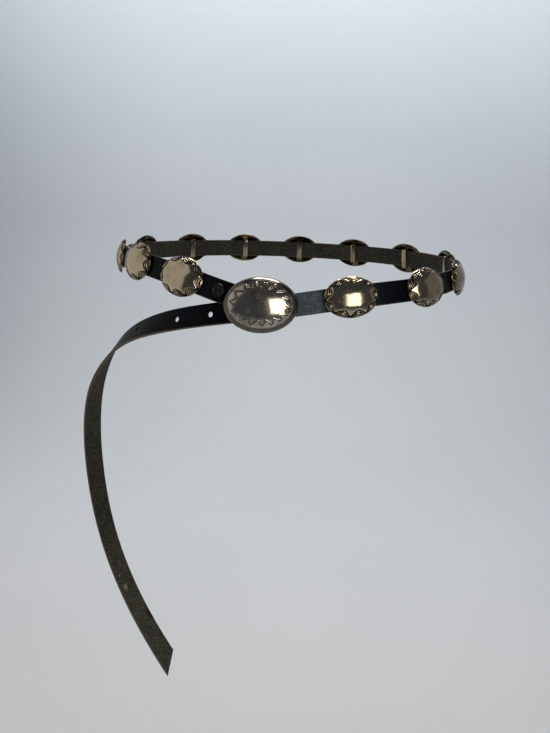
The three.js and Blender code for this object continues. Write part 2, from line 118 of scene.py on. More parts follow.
turn_left = Matrix.Rotation(VIEW_LEFT, 4, "Z")
look_level = Matrix.Rotation(math.pi / 2 - VIEW_DOWN, 4, "X")
roll = Matrix.Rotation(VIEW_ROLL, 4, "Z")
lens = bpy.data.cameras.new("view")
lens.sensor_fit = "HORIZONTAL"
lens.sensor_width = SENSOR_WIDTH
lens.lens = FOCAL_PIXELS * SENSOR_WIDTH / IMAGE_WIDTH
lens.clip_start = 0.01
camera = bpy.data.objects.new("view", lens)
camera.matrix_world = Matrix.Translation(VIEW_PLACE) @ turn_left @ look_level @ roll
bpy.context.scene.collection.objects.link(camera)
bpy.context.scene.camera = camera
print("lens", round(lens.lens, 2), "mm")

# %% [markdown]
# The stage is one pale sheet: a floor that curves up into a backdrop, so no horizon line cuts
# through the picture. The belt hangs at the height at which it is worn, well above it.

# %% Floor and backdrop
FLOOR_HEIGHT = -0.95
FLOOR_FRONT = -3.0
BACKDROP_PLACE = 2.2
BACKDROP_TOP = 3.0
SWEEP_RADIUS = 0.9
STAGE_WIDTH = 9.0
SWEEP_STEPS = 24


def make_stage():
    """A floor that sweeps up into a backdrop, as one smooth sheet."""
    shape = bmesh.new()
    start = shape.verts.new((-STAGE_WIDTH / 2, FLOOR_FRONT, FLOOR_HEIGHT))
    bend = shape.verts.new((-STAGE_WIDTH / 2, BACKDROP_PLACE - SWEEP_RADIUS, FLOOR_HEIGHT))
    shape.edges.new((start, bend))
    centre = (0, BACKDROP_PLACE - SWEEP_RADIUS, FLOOR_HEIGHT + SWEEP_RADIUS)
    swept = bmesh.ops.spin(
        shape, geom=[bend], cent=centre, axis=(1, 0, 0), dvec=(0, 0, 0),
        angle=math.pi / 2, steps=SWEEP_STEPS, use_merge=False, use_duplicate=False,
    )
    last = [item for item in swept["geom_last"] if isinstance(item, bmesh.types.BMVert)]
    top = bmesh.ops.extrude_vert_indiv(shape, verts=last)["verts"]
    for vert in top:
        vert.co.z = BACKDROP_TOP
    sheet = bmesh.ops.extrude_edge_only(shape, edges=shape.edges)["geom"]
    moved = [item for item in sheet if isinstance(item, bmesh.types.BMVert)]
    bmesh.ops.translate(shape, vec=(STAGE_WIDTH, 0, 0), verts=moved)
    bmesh.ops.recalc_face_normals(shape, faces=shape.faces)
    mesh = bpy.data.meshes.new("stage")
    shape.to_mesh(mesh)
    shape.free()
    mesh.shade_smooth()
    stage = bpy.data.objects.new("stage", mesh)
    bpy.context.scene.collection.objects.link(stage)
    return stage


stage = make_stage()

# %% [markdown]
# Polished metal shows the room more than itself, so the room is built as a few soft panels. A
# bright window stands in front on the right, a pale wall fills the left with a sharp upright
# edge, a dim wall fills the right, and a small bright panel hangs high behind the belt. What
# is left is a grey room. One more panel washes the backdrop, so that it stays pale.

# %% Light
LIT_POINT = Vector((0, -0.115, 0))
PANELS = (
    {"name": "window", "bearing": 35, "height": 12, "away": 2.0, "size": (1.05, 1.5), "glow": 3.2},
    {"name": "pale_wall", "bearing": -88, "height": 16, "away": 1.6, "size": (2.6, 3.4), "glow": 0.48},
    {"name": "side_wall", "bearing": 104, "height": 10, "away": 1.8, "size": (1.6, 1.6), "glow": 0.13},
    {"name": "ceiling", "bearing": 176, "height": 54, "away": 1.6, "size": (0.85, 0.4), "glow": 20.0},
)
WARM_DAYLIGHT = "#fff6e8"
COOL_DAYLIGHT = "#f6f9ff"
WASH = {"place": (0, 1.0, 1.6), "aim": (0, 2.2, 0.9), "size": (3.6, 0.5), "glow": 7.0}
ROOM_TINT = "#7f8285"
ROOM_GLOW = 0.3


def add_panel(name, place, aim, size, glow, tint):
    """A soft panel that shines from a place at a point, equally bright whatever its size."""
    lamp = bpy.data.lights.new(name, "AREA")
    lamp.shape = "RECTANGLE"
    width, height = size
    lamp.size, lamp.size_y = size
    lamp.energy = glow * math.pi * width * height
    lamp.color = linear(tint)[:3]
    panel = bpy.data.objects.new(name, lamp)
    panel.location = place
    panel.rotation_euler = (Vector(aim) - Vector(place)).to_track_quat("-Z", "Y").to_euler()
    panel.visible_camera = False
    bpy.context.scene.collection.objects.link(panel)
    return lamp.energy


def round_the_belt(bearing, height, away):
    """A place round the lit point: its bearing from the front, its height and its distance."""
    heading, rise = math.radians(bearing), math.radians(height)
    level = Vector((math.sin(heading), -math.cos(heading), 0))
    return LIT_POINT + (level * math.cos(rise) + Vector((0, 0, math.sin(rise)))) * away


for row in PANELS:
    place = round_the_belt(row["bearing"], row["height"], row["away"])
    energy = add_panel(row["name"], place, LIT_POINT, row["size"], row["glow"], WARM_DAYLIGHT)
    print("panel", row["name"], round(energy, 1), "W")
print("backdrop wash", round(add_panel("wash", tint=COOL_DAYLIGHT, **WASH), 1), "W")

world = bpy.data.worlds.new("room")
world.use_nodes = True
world.node_tree.nodes["Background"].inputs["Color"].default_value = linear(ROOM_TINT)
world.node_tree.nodes["Background"].inputs["Strength"].default_value = ROOM_GLOW
bpy.context.scene.world = world
bpy.context.scene.view_settings.view_transform = "Standard"

# %% [markdown]
# Every finish is a small tree of shader nodes. One function adds a node, sets it and links it,
# so that each finish reads as a list of what happens on the real surface. Where an input is
# given a whole node, its first live output is meant: the grey value of a noise, the result of
# a sum or the colour of a mix.

# %% Nodes for the finishes


def add(tree, kind, inputs=None, **settings):
    """Adds a shader node with its settings. An input is a value, a node or a node's output."""
    node = tree.nodes.new("ShaderNode" + kind)
    for setting, value in settings.items():
        setattr(node, setting, value)
    for socket, value in (inputs or {}).items():
        if isinstance(value, bpy.types.Node):
            value = next(output for output in value.outputs if output.enabled)
        if isinstance(value, bpy.types.NodeSocket):
            tree.links.new(value, node.inputs[socket])
        else:
            node.inputs[socket].default_value = value
    return node


def new_finish(name):
    """An empty material, its node tree and its shader."""
    finish = bpy.data.materials.new(name)
    finish.use_nodes = True
    return finish, finish.node_tree, finish.node_tree.nodes["Principled BSDF"]


def per_metre(millimetres):
    """Scale of a pattern whose features are this many millimetres apart."""
    return 1 / (millimetres * MM)


# Sockets of the Mix node when it mixes colours.
MIX_A, MIX_B, MIX_RESULT = 6, 7, 2
print("a grain of 0.6 mm has a scale of", round(per_metre(0.6)))

# %% [markdown]
# The stage is painted board: matt, pale and a little cool, with a faint unevenness that keeps
# it from looking like an empty page.

# %% Finish: painted board
board, tree, shader = new_finish("painted_board")
place = add(tree, "TexCoord")
clouds = add(tree, "TexNoise", {"Vector": place.outputs["Object"], "Scale": 1.3, "Detail": 3.0})
tint = add(
    tree, "Mix", {0: clouds, MIX_A: linear("#cdd3da"), MIX_B: linear("#d6dbe1")}, data_type="RGBA",
)
tree.links.new(tint.outputs[MIX_RESULT], shader.inputs["Base Color"])
shader.inputs["Roughness"].default_value = 0.9
stage.data.materials.append(board)
print("finish", board.name)

# %% [markdown]
# An oval dome stands somewhere along the leaning strap, so its own axes have to be found
# before it can be rebuilt. The flat underside of its rim gives them: its direction, its middle
# and the longer of its two diameters.

# %% Axes of an oval
SAME_FACING = 0.9995
NARROWING = (0.9999, 0.99999, 0.999999)
SAME_PLANE = 0.3 * MM
UP = Vector((0, 0, 1))


def flattest_facing(shape):
    """The direction that most of a shape's area faces, narrowed in three steps."""
    areas = {}
    for face in shape.faces:
        key = tuple(round(part, 2) for part in face.normal)
        areas[key] = areas.get(key, 0) + face.calc_area()
    facing = Vector(max(areas, key=areas.get)).normalized()
    for closeness in NARROWING:
        near = [face for face in shape.faces if face.normal.dot(facing) > closeness]
        facing = sum((face.normal * face.calc_area() for face in near), Vector()).normalized()
    return facing


def oval_axes(node):
    """A matrix from an oval's own axes, along, out and across, to its place on the belt."""
    shape = working_copy(node)
    out = flattest_facing(shape)
    middle_of_all = sum((vert.co for vert in shape.verts), Vector()) / len(shape.verts)
    if out.dot(middle_of_all * Vector((1, 1, 0))) < 0:
        out.negate()
    backs = [face for face in shape.faces if face.normal.dot(out) < -SAME_FACING]
    front = max(face.calc_center_median().dot(out) for face in backs)
    rims = [face for face in backs if front - face.calc_center_median().dot(out) < SAME_PLANE]
    rim = {vert for face in rims for vert in face.verts}
    middle = sum((vert.co for vert in rim), Vector()) / len(rim)
    across = (UP - out * UP.dot(out)).normalized()
    along = out.cross(across)
    spread = [((vert.co - middle).dot(along), (vert.co - middle).dot(across)) for vert in rim]
    wide = sum(x * x for x, _ in spread)
    high = sum(z * z for _, z in spread)
    both = sum(x * z for x, z in spread)
    turn = math.atan2(2 * both, wide - high) / 2
    along = (along * math.cos(turn) + across * math.sin(turn)).normalized()
    across = along.cross(out)
    shape.free()
    axes = Matrix((along, out, across)).transposed().to_4x4()
    return Matrix.Translation(middle) @ axes


conchos = [node for node in nodes if node.startswith("concho")]
oval_places = {node: oval_axes(node) for node in conchos + ["buckle"]}
for node, axes in oval_places.items():
    lean = math.degrees(math.asin(axes.to_3x3().col[1].z))
    print(node, "at", [round(part / MM, 1) for part in axes.translation], "mm, leans", round(lean, 1))
buckle_axes = oval_places["buckle"]

# %% [markdown]
# A concho is pressed from one sheet over a domed form. The quickest true way to make that
# shape is a lathe: draw half of the section, with the sheet's thickness and its rounded lip,
# spin it round, and stretch the round cup to the oval.

# %% Pressed cups
CONCHO = {"length": 39.0, "height": 28.6, "rise": 6.2, "fullness": 0.7, "sheet": 1.0}
BUCKLE = {"length": 50.7, "height": 38.2, "rise": 10.0, "fullness": 0.6, "sheet": 1.2}
INNER_SHARE = 0.945
LIP = (
    {"radius": 0.9985, "height": 0.18}, {"radius": 1.0, "height": 0.1},
    {"radius": 0.999, "height": 0.03}, {"radius": 0.99, "height": 0.0},
    {"radius": 0.955, "height": 0.0}, {"radius": INNER_SHARE, "height": 0.06},
)
CENTRE_RINGS = 10
BORDER_RINGS = 46
BORDER_START = 0.5


def dome_height(radius, size):
    """Height of the dome over its rim plane, in metres, at a share of the way out."""
    return size["rise"] * MM * max(0.0, 1 - radius ** 2) ** size["fullness"]


def cup_section(size):
    """Half the section of a pressed cup: crown, border, lip and inside, as (share, height)."""
    centre = [BORDER_START * i / CENTRE_RINGS for i in range(CENTRE_RINGS)]
    border = [BORDER_START + (1 - BORDER_START) * i / BORDER_RINGS for i in range(BORDER_RINGS)]
    points = [(radius, dome_height(radius, size)) for radius in centre + border]
    inner = dict(size, rise=size["rise"] - size["sheet"])
    points += [(row["radius"], row["height"] * MM) for row in LIP]
    for i in range(1, CENTRE_RINGS + 1):
        share = math.cos(0.5 * math.pi * i / CENTRE_RINGS)
        points.append((INNER_SHARE * share, dome_height(share, inner)))
    return points


def spin_cup(size, steps):
    """A pressed cup, closed all round, in its own axes."""
    shape = bmesh.new()
    verts = [shape.verts.new((radius, height, 0)) for radius, height in cup_section(size)]
    edges = [shape.edges.new(pair) for pair in zip(verts, verts[1:])]
    bmesh.ops.spin(
        shape, geom=verts + edges, cent=(0, 0, 0), axis=(0, 1, 0), dvec=(0, 0, 0),
        angle=math.tau, steps=steps, use_merge=True, use_duplicate=False,
    )
    bmesh.ops.remove_doubles(shape, verts=shape.verts, dist=WELD)
    oval = (size["length"] / 2 * MM, 1, size["height"] / 2 * MM)
    bmesh.ops.scale(shape, vec=oval, verts=shape.verts)
    bmesh.ops.recalc_face_normals(shape, faces=shape.faces)
    shape.normal_update()
    return shape


test_cup = spin_cup(CONCHO, 24)
print("a cup with 24 steps holds", round(test_cup.calc_volume() / MM ** 3), "cubic mm of metal")
test_cup.free()

# %% [markdown]
# Stamps are struck into the border after pressing. Each point of the outer skin is therefore moved along
# its own normal by a depth that depends on how far it lies from the rim and from the nearest stamped line.
# The same measure is stored as the stamp attribute for the oxide, and a second one, band, marks the border
# and the inside, which are given a darker colour: partly a darker film, and partly painted shade that
# stands for the dark room reflected low on the border.

# %% Stamping
OFF_SKIN = 0.1
LIP_FROM = 0.998


def gaussian(distance, width):
    """Soft bump of height 1 and the given width."""
    return math.exp(-0.5 * (distance / width) ** 2)


def soft_step(value, start, end):
    """Rises smoothly from 0 at the start to 1 at the end."""
    share = max(0.0, min(1.0, (value - start) / (end - start)))
    return share * share * (3 - 2 * share)


def stamp_cup(shape, size, relief):
    """Moves the outer skin by a relief, which gives lift, pull to the middle, stamp and band."""
    stamp = shape.verts.layers.float.new("stamp")
    band = shape.verts.layers.float.new("band")
    half_length, half_height = size["length"] / 2 * MM, size["height"] / 2 * MM
    moves = []
    for vert in shape.verts:
        x, z = vert.co.x / half_length, vert.co.z / half_height
        radius = math.hypot(x, z)
        if abs(vert.co.y - dome_height(radius, size)) > OFF_SKIN * MM and radius < LIP_FROM:
            vert[band] = 1.0
            continue
        angle = math.atan2(z, x)
        reach = math.hypot(half_length * math.cos(angle), half_height * math.sin(angle)) / MM
        lift, pull, vert[stamp], vert[band] = relief(angle, (1 - radius) * reach, reach)
        inward = Vector((-vert.co.x, 0, -vert.co.z)).normalized()
        moves.append((vert, vert.normal * lift * MM + inward * pull * MM))
    for vert, move in moves:
        vert.co += move
    return len(moves)


print("one width from its middle a line has", round(gaussian(1, 1), 2), "of its depth")

# %% [markdown]
# The concho's border is a ring of nine scallops. Each has three curved grooves struck one
# inside the other with rounded ridges left between them, and where two scallops meet the
# grooves run out at the rim in a small V.

# %% Scalloped border
SCALLOPS = 9
ARCS = (
    {"reach": 4.3, "span": 1.0, "depth": 0.4, "width": 0.26},
    {"reach": 2.9, "span": 0.86, "depth": 0.36, "width": 0.24},
    {"reach": 1.5, "span": 0.66, "depth": 0.28, "width": 0.22},
)
RIDGE = {"lift": 0.28, "width": 0.3}
SHOULDER = {"depth": 0.14, "width": 1.2}
NOTCH = {"depth": 0.3, "width": 0.7, "reach": 0.8}
BAND_EDGE = {"before": 0.4, "after": 0.3}
CONCHO_STEPS = 324
JUNCTION_DOT = {"inset": 0.9, "width": 0.45, "depth": 0.2}


def scalloped_border(angle, inset, reach):
    """Lift, pull, stamp and band of the concho's border at an angle and a distance from the rim."""
    scallop = SCALLOPS * angle / math.tau
    swing = 2 * (scallop % 1) - 1
    width = math.tau * reach / SCALLOPS
    lift, depth = 0.0, 0.0
    curves = []
    for arc in ARCS:
        curve = arc["reach"] * (1 - (swing / arc["span"]) ** 2)
        slope = 2 * arc["reach"] * swing / arc["span"] ** 2 * 2 / width
        line = gaussian((inset - curve) / math.hypot(1, slope), arc["width"])
        lift -= arc["depth"] * line
        depth = max(depth, line)
        curves.append(curve)
    crest = 0.0
    for inner, outer in zip(curves, curves[1:]):
        if inner > 0:
            crest = max(crest, gaussian(inset - (max(outer, 0) + inner) / 2, RIDGE["width"]))
    lift += RIDGE["lift"] * crest
    if inset > curves[0]:
        lift -= SHOULDER["depth"] * gaussian(inset - curves[0], SHOULDER["width"])
    aside = (1 - abs(swing)) * width / 2
    pull = NOTCH["depth"] * gaussian(aside, NOTCH["width"]) * gaussian(inset, NOTCH["reach"])
    dot = gaussian(math.hypot(aside, inset - JUNCTION_DOT["inset"]), JUNCTION_DOT["width"])
    lift -= JUNCTION_DOT["depth"] * dot
    inside = soft_step(inset, curves[0] - BAND_EDGE["before"], curves[0] + BAND_EDGE["after"])
    band = (1 - inside) * (1 - crest)
    return lift, pull, min(1.0, max(depth, dot)), band


concho_cup = spin_cup(CONCHO, CONCHO_STEPS)
print("stamped", stamp_cup(concho_cup, CONCHO, scalloped_border), "points of the concho's skin")
concho_mesh = bpy.data.meshes.new("concho_pattern")
concho_cup.to_mesh(concho_mesh)
concho_cup.free()

# %% [markdown]
# The conchos and the buckle are nickel silver, a copper alloy with nickel that polishes like
# silver and tarnishes to a warm brown. Handling keeps the domes mirror-like, a thin film dulls
# them in patches, and stamped lines keep black oxide that no cloth reaches. The shape carries
# an attribute named stamp, which says how deep in a stamped line a point lies. Red-brown
# stains, where the copper in the alloy shows, sit at measured places on the domes. They are
# oxide and not metal, so they shine less. Fine hairlines spread each reflection a little.

# %% Finish: nickel silver
OXIDE = "#0d0b09"
OXIDE_SHOWS, OXIDE_FULL = 0.2, 0.65
FILM_STARTS, FILM_FULL = 0.62, 0.95
FILM_PATCHES = 9.0
PIT_SPACING = 0.8
HAIRLINE_WIDTH = 0.3
HAIRLINE_STRETCH = 4
WAVE_LENGTH = 5.0
STAINS = (
    {"node": "buckle", "x": 1.4, "z": 5.1, "ring": 1.2, "reach": 0.9, "share": 0.9, "tint": "#7d3f2c"},
    {"node": "buckle", "x": 8.1, "z": -5.0, "ring": 0.0, "reach": 1.5, "share": 0.7, "tint": "#6f4038"},
    {"node": "buckle", "x": 15.0, "z": 12.2, "ring": 0.0, "reach": 1.6, "share": 0.6, "tint": "#7a4b33"},
    {"node": "concho_13", "x": 3.5, "z": 4.0, "ring": 0.0, "reach": 1.2, "share": 0.8, "tint": "#6b3a26"},
    {"node": "concho_13", "x": 10.3, "z": -2.3, "ring": 0.0, "reach": 1.7, "share": 0.6, "tint": "#6b3f29"},
)
STAIN_RAGGED = -0.8
STAIN_CORE, STAIN_EDGE = -0.3, 0.6
STAIN_MATT = -0.8
HAIRLINES_TURN = (0.2, 0.5, 0.1)
FILM_DULLS, OXIDE_DULLS = 0.08, 0.3


def stain_place(stain):
    """Place on the belt, in metres, of a stain given in its dome's own axes in mm."""
    size = BUCKLE if stain["node"] == "buckle" else CONCHO
    radius = math.hypot(2 * stain["x"] / size["length"], 2 * stain["z"] / size["height"])
    local = Vector((stain["x"] * MM, dome_height(radius, size), stain["z"] * MM))
    return oval_places[stain["node"]] @ local


def nickel_silver(name, clean, filmed, film_share, polish, rub, band_tint, band_share):
    """Tarnished nickel silver. A larger share is browner, and a smaller polish is sharper."""
    finish, tree, shader = new_finish(name)
    place = add(tree, "TexCoord").outputs["Object"]
    patches = add(
        tree, "TexNoise",
        {"Vector": place, "Scale": per_metre(FILM_PATCHES), "Detail": 5.0, "Roughness": 0.6},
    )
    film = add(
        tree, "MapRange",
        {"Value": patches, "From Min": FILM_STARTS - film_share, "From Max": FILM_FULL - film_share},
        interpolation_type="SMOOTHSTEP",
    )
    body = add(
        tree, "Mix", {0: film, MIX_A: linear(clean), MIX_B: linear(filmed)}, data_type="RGBA",
    )
    pits = add(
        tree, "TexNoise",
        {"Vector": place, "Scale": per_metre(PIT_SPACING), "Detail": 4.0, "Roughness": 0.65},
    )
    metal = 1.0
    for stain in STAINS:
        reach = stain["reach"] * MM
        away = add(tree, "VectorMath", {0: place, 1: stain_place(stain)}, operation="DISTANCE")
        ring = add(tree, "Math", {0: away, 1: stain["ring"] * MM}, operation="SUBTRACT")
        near = add(tree, "Math", {0: ring}, operation="ABSOLUTE")
        ragged = add(
            tree, "Math", {0: pits, 1: STAIN_RAGGED * reach, 2: near}, operation="MULTIPLY_ADD",
        )
        mask = add(
            tree, "MapRange",
            {
                "Value": ragged, "From Min": STAIN_CORE * reach, "From Max": STAIN_EDGE * reach,
                "To Min": stain["share"], "To Max": 0.0,
            },
            interpolation_type="SMOOTHSTEP",
        )
        body = add(
            tree, "Mix", {0: mask, MIX_A: body, MIX_B: linear(stain["tint"])}, data_type="RGBA",
        )
        metal = add(
            tree, "Math", {0: mask, 1: STAIN_MATT, 2: metal}, operation="MULTIPLY_ADD", use_clamp=True,
        )
    tree.links.new(metal.outputs[0], shader.inputs["Metallic"])
    # The band's darker tint is partly a real film and partly painted shade, standing for the dark room that
    # the lower border reflects.
    band = add(tree, "Attribute", attribute_name="band").outputs["Fac"]
    banded = add(tree, "Math", {0: band, 1: band_share}, operation="MULTIPLY")
    body = add(tree, "Mix", {0: banded, MIX_A: body, MIX_B: linear(band_tint)}, data_type="RGBA")
    stamp = add(tree, "Attribute", attribute_name="stamp").outputs["Fac"]
    black = add(
        tree, "MapRange", {"Value": stamp, "From Min": OXIDE_SHOWS, "From Max": OXIDE_FULL},
        interpolation_type="SMOOTHSTEP",
    )
    colour = add(tree, "Mix", {0: black, MIX_A: body, MIX_B: linear(OXIDE)}, data_type="RGBA")
    tree.links.new(colour.outputs[MIX_RESULT], shader.inputs["Base Color"])
    stretch = add(
        tree, "Mapping",
        {"Vector": place, "Rotation": HAIRLINES_TURN, "Scale": (1, 1, HAIRLINE_STRETCH)},
        vector_type="POINT",
    )
    hairlines = add(
        tree, "TexNoise",
        {
            "Vector": stretch, "Scale": per_metre(HAIRLINE_WIDTH * HAIRLINE_STRETCH),
            "Detail": 5.0, "Roughness": 0.75,
        },
    )
    rub_and_painted_sheen = add(
        tree, "MapRange", {"Value": hairlines, "From Min": 0.45, "From Max": 0.7, "To Max": rub},
    )
    dulled = add(tree, "Math", {0: film, 1: FILM_DULLS, 2: rub_and_painted_sheen}, operation="MULTIPLY_ADD")
    rough = add(tree, "Math", {0: dulled, 1: polish}, operation="ADD")
    rougher = add(tree, "Math", {0: black, 1: OXIDE_DULLS, 2: rough}, operation="MULTIPLY_ADD")
    tree.links.new(rougher.outputs["Value"], shader.inputs["Roughness"])
    waves = add(
        tree, "TexNoise", {"Vector": place, "Scale": per_metre(WAVE_LENGTH), "Detail": 1.0},
    )
    dents = add(tree, "Bump", {"Height": waves, "Strength": 0.25, "Distance": 0.25 * MM})
    fine = add(
        tree, "Bump", {"Height": pits, "Strength": 0.12, "Distance": 0.05 * MM, "Normal": dents},
    )
    tree.links.new(fine.outputs["Normal"], shader.inputs["Normal"])
    return finish


# The last two values are the band's darker tint and its share: partly film, partly painted shade.
concho_metal = nickel_silver(
    "tarnished_nickel_silver", "#b9af9a", "#85775f", 0.16, 0.1, 0.12, "#51462f", 0.4,
)
buckle_metal = nickel_silver(
    "worn_nickel_silver", "#bab6ad", "#857f73", 0.2, 0.1, 0.2, "#35312a", 0.8,
)
print("finishes", concho_metal.name, buckle_metal.name)

# %% [markdown]
# Behind each concho a flat keeper is soldered, a bar on two legs that the strap runs through.
# It hardly shows, so it is made plainly: three boxes with eased edges, as deep as the frame says. What lies
# behind the rim also gets the band's darker colour.

# %% Keepers and conchos
KEEPER_WIDTH = 5.0
KEEPER_SHEET = 1.0
KEEPER_EASE = 0.2
STRAP_GAP_HALF = 8.3
BEHIND_RIM = 0.05
LEG_INSIDE = 0.4
KEEPER_BAND = 0.8


def add_block(shape, low, high, ease):
    """A box between two corners, in mm in the shape's own axes, with eased edges."""
    size = [(b - a) * MM for a, b in zip(low, high)]
    middle = [(a + b) / 2 * MM for a, b in zip(low, high)]
    block = Matrix.Translation(middle) @ Matrix.Diagonal((*size, 1))
    made = bmesh.ops.create_cube(shape, size=1, matrix=block)["verts"]
    edges = {edge for vert in made for edge in vert.link_edges}
    bmesh.ops.bevel(
        shape, geom=list(edges), offset=ease * MM, offset_type="OFFSET", segments=2, profile=0.5,
        affect="EDGES", material=-1,
    )


def keeper_depth(node, axes):
    """How far the back of a keeper lies behind the rim plane, in mm."""
    inward = axes.inverted()
    return -min((inward @ vert.co).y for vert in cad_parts[node].data.vertices) / MM


def make_concho(node):
    """A concho with its keeper, at its place on the strap."""
    axes = oval_places[node]
    back = -keeper_depth(node, axes)
    shape = bmesh.new()
    shape.from_mesh(concho_mesh)
    half = KEEPER_WIDTH / 2
    outer = STRAP_GAP_HALF + KEEPER_SHEET
    add_block(shape, (-half, back, -outer), (half, back + KEEPER_SHEET, outer), KEEPER_EASE)
    top = dome_height(outer / (CONCHO["height"] / 2), CONCHO) / MM - LEG_INSIDE
    for low, high in ((-outer, -STRAP_GAP_HALF), (STRAP_GAP_HALF, outer)):
        add_block(shape, (-half, back, low), (half, top, high), KEEPER_EASE)
    band = shape.verts.layers.float["band"]
    for vert in shape.verts:
        if vert.co.y < -BEHIND_RIM * MM:
            vert[band] = KEEPER_BAND
    bmesh.ops.transform(shape, matrix=axes, verts=shape.verts)
    hand_over(node + "_dome", shape, [concho_metal], node)
    return back


depths = [make_concho(node) for node in conchos]
print(len(conchos), "conchos, keepers", round(min(depths), 1), "to", round(max(depths), 1), "mm back")

# %% [markdown]
# The buckle is a larger cup with a plain band round its rim, a crease inside the band and a
# row of teeth struck line by line with a small chisel. A hand struck them, so no two teeth are
# alike: the table gives the direction of each outer tip round the oval.

# %% Buckle
TOOTH_TIPS = (
    6.4, 32.7, 58.6, 79.3, 100.0, 121.6, 143.4, 164.0,
    185.0, 205.0, 225.0, 245.7, 265.7, 288.8, 314.0, 340.5,
)
CREASE = {"inset": 3.4, "lift": 0.09, "width": 0.24, "hollow": 0.09, "behind": 0.5}
CREASE_BAND = {"before": 0.5, "after": 0.3}
OUTER_TIP_INSET = 4.5
INNER_TIP_INSET = 8.1
CHISEL = {"depth": 0.45, "width": 0.2, "lip": 0.5, "lip_share": 0.4, "oxide": 0.7, "reach": 1.0}
BUCKLE_STEPS = 560


def on_oval(angle, inset, size):
    """Point in the rim plane, in mm, at an angle and a distance from the rim."""
    half_length, half_height = size["length"] / 2, size["height"] / 2
    reach = math.hypot(half_length * math.cos(angle), half_height * math.sin(angle))
    share = 1 - inset / reach
    return Vector((half_length * share * math.cos(angle), half_height * share * math.sin(angle)))


def tooth_strokes():
    """The chisel strokes, each from an outer tip to the inner tip beside it."""
    strokes = []
    following_tips = TOOTH_TIPS[1:] + (TOOTH_TIPS[0] + 360,)
    for tip, following in zip(TOOTH_TIPS, following_tips):
        valley = math.radians((tip + following) / 2)
        inner = on_oval(valley, INNER_TIP_INSET, BUCKLE)
        for end in (tip, following):
            outer = on_oval(math.radians(end), OUTER_TIP_INSET, BUCKLE)
            strokes.append((outer, inner))
    return strokes


STROKES = tooth_strokes()


def to_stroke(point, start, end):
    """Distance from a point to a stroke between two points."""
    span = end - start
    share = max(0.0, min(1.0, (point - start).dot(span) / span.dot(span)))
    return (point - start - span * share).length


def buckle_border(angle, inset, reach):
    """Lift, pull, stamp and band of the buckle's border, in mm."""
    lift = CREASE["lift"] * gaussian(inset - CREASE["inset"], CREASE["width"])
    lift -= CREASE["hollow"] * gaussian(inset - CREASE["inset"] - CREASE["behind"], CREASE["width"])
    start, end = CREASE["inset"] - CREASE_BAND["before"], CREASE["inset"] + CREASE_BAND["after"]
    band = 1 - soft_step(inset, start, end)
    if not OUTER_TIP_INSET - CHISEL["reach"] < inset < INNER_TIP_INSET + CHISEL["reach"]:
        return lift, 0.0, 0.0, band
    point = on_oval(angle, inset, BUCKLE)
    near = min(to_stroke(point, start, end) for start, end in STROKES)
    line = gaussian(near, CHISEL["width"])
    lip = gaussian(near - CHISEL["lip"], CHISEL["width"])
    lift += CHISEL["depth"] * (CHISEL["lip_share"] * lip - line)
    return lift, 0.0, CHISEL["oxide"] * line, band


buckle_cup = spin_cup(BUCKLE, BUCKLE_STEPS)
print("stamped", stamp_cup(buckle_cup, BUCKLE, buckle_border), "points of the buckle's skin")

# %% [markdown]
# The bar and the hook behind the buckle are wires soldered inside the cup. The frame already
# has them at their true places, so a copy is cut off at the rim plane, and the cut wires are
# drawn on into the cup until they end inside its sheet.

# %% Bar and hook
CUT_BEHIND = 0.02


def wires_behind(node, axes, size):
    """The wires of a node behind its rim plane, drawn on into its cup, in the cup's own axes."""
    shape = working_copy(node)
    bmesh.ops.transform(shape, matrix=axes.inverted(), verts=shape.verts)
    bmesh.ops.bisect_plane(
        shape, geom=shape.verts[:] + shape.edges[:] + shape.faces[:], dist=WELD,
        plane_co=(0, -CUT_BEHIND * MM, 0), plane_no=(0, 1, 0), clear_outer=True, clear_inner=False,
    )
    open_edges = [edge for edge in shape.edges if edge.is_boundary]
    grown = bmesh.ops.extrude_edge_only(shape, edges=open_edges)["geom"]
    tips = [item for item in grown if isinstance(item, bmesh.types.BMVert)]
    sheet_middle = dict(size, rise=size["rise"] - size["sheet"] / 2)
    for vert in tips:
        share = math.hypot(vert.co.x / (size["length"] / 2 * MM), vert.co.z / (size["height"] / 2 * MM))
        vert.co.y = dome_height(share, sheet_middle)
    ends = [edge for edge in shape.edges if edge.is_boundary]
    bmesh.ops.holes_fill(shape, edges=ends, sides=0)
    bmesh.ops.recalc_face_normals(shape, faces=shape.faces)
    return shape


wires = wires_behind("buckle", buckle_axes, BUCKLE)
wire_mesh = bpy.data.meshes.new("buckle_wires")
wires.to_mesh(wire_mesh)
print("the wires have", len(wires.faces), "faces")
wires.free()
buckle_cup.from_mesh(wire_mesh)
bmesh.ops.transform(buckle_cup, matrix=buckle_axes, verts=buckle_cup.verts)
hand_over("buckle_dome", buckle_cup, [buckle_metal], "buckle")

# %% [markdown]
# The folded end is closed with a black press stud: a cap with a rolled ring round a sunken
# rosette, on a post with a flange behind the leather. It is turned from one closed section,
# and the petals are raised by moving points, as the stamp on the real cap does.

# %% Finish: blackened steel
SCUFF_SIZE = 1.2
stud_metal, tree, shader = new_finish("blackened_steel")
place = add(tree, "TexCoord").outputs["Object"]
wear = add(tree, "TexNoise", {"Vector": place, "Scale": per_metre(SCUFF_SIZE), "Detail": 4.0})
tint = add(
    tree, "Mix", {0: wear, MIX_A: linear("#1b1c1f"), MIX_B: linear("#3a3b3e")}, data_type="RGBA",
)
tree.links.new(tint.outputs[MIX_RESULT], shader.inputs["Base Color"])
shader.inputs["Metallic"].default_value = 0.85
shader.inputs["Roughness"].default_value = 0.38
print("finish", stud_metal.name)

